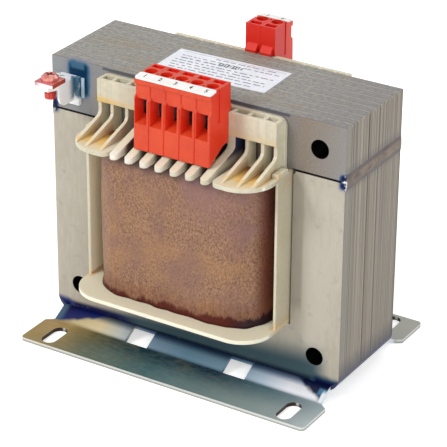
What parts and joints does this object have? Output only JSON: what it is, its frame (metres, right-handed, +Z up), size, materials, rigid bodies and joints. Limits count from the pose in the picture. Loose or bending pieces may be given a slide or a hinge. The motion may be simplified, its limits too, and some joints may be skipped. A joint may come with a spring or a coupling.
{
  "type": "laminated chassis transformer",
  "caption": "Open-frame laminated transformer on two folded zinc feet, with a moulded bobbin, screw terminal blocks front and back and an earth clamp.",
  "frame": {"origin": "middle of the four foot slots, on the plane that the feet stand on", "axes": "+Z up from the mounting plane, +X across the width of the core, front with the larger terminal block towards -Y"},
  "size_m": [0.1206, 0.0892, 0.1138],
  "materials": {
    "lamination": "bare silicon steel sheet edges under a thin varnish",
    "weld": "weld bead with straw and blue heat tint",
    "foot_zinc": "yellow-passivated zinc plate",
    "bobbin_nylon": "ivory glass-filled nylon, satin, with amber varnish where it pooled",
    "winding": "enamelled copper wire",
    "insulation": "varnished brown insulating wrap",
    "terminal_plastic": "orange-red satin nylon",
    "plated_steel": "bright zinc plate with a faint yellow tint",
    "lead_sleeve": "tan sleeve over copper wire",
    "marker_card": "white marker strip",
    "label_film": "white paper label under clear film, bare of print"
  },
  "bodies": {
    "root": {"core_e_stack": "lamination", "core_i_stack": "lamination", "joint_weld_right": "weld", "joint_weld_left": "weld", "foot_front": "foot_zinc", "foot_back": "foot_zinc", "foot_weld_right": "weld", "foot_weld_left": "weld", "bobbin": "bobbin_nylon", "primary_winding": "winding", "layer_insulation": "insulation", "secondary_winding": "winding", "coil_wrap": "insulation", "terminal_pole_front_1": "terminal_plastic", "terminal_pole_front_2": "terminal_plastic", "terminal_pole_front_3": "terminal_plastic", "terminal_pole_front_4": "terminal_plastic", "terminal_pole_front_5": "terminal_plastic", "clamp_cages_front": "plated_steel", "clamp_screws_front": "plated_steel", "winding_leads_front": "lead_sleeve", "marker_strip_front": "marker_card", "terminal_pole_back_1": "terminal_plastic", "terminal_pole_back_2": "terminal_plastic", "clamp_cages_back": "plated_steel", "clamp_screws_back": "plated_steel", "winding_leads_back": "lead_sleeve", "marker_strip_back": "marker_card", "earth_bracket": "plated_steel", "earth_saddle": "plated_steel", "earth_screw": "plated_steel", "rating_label": "label_film"}
  },
  "joints": []
}
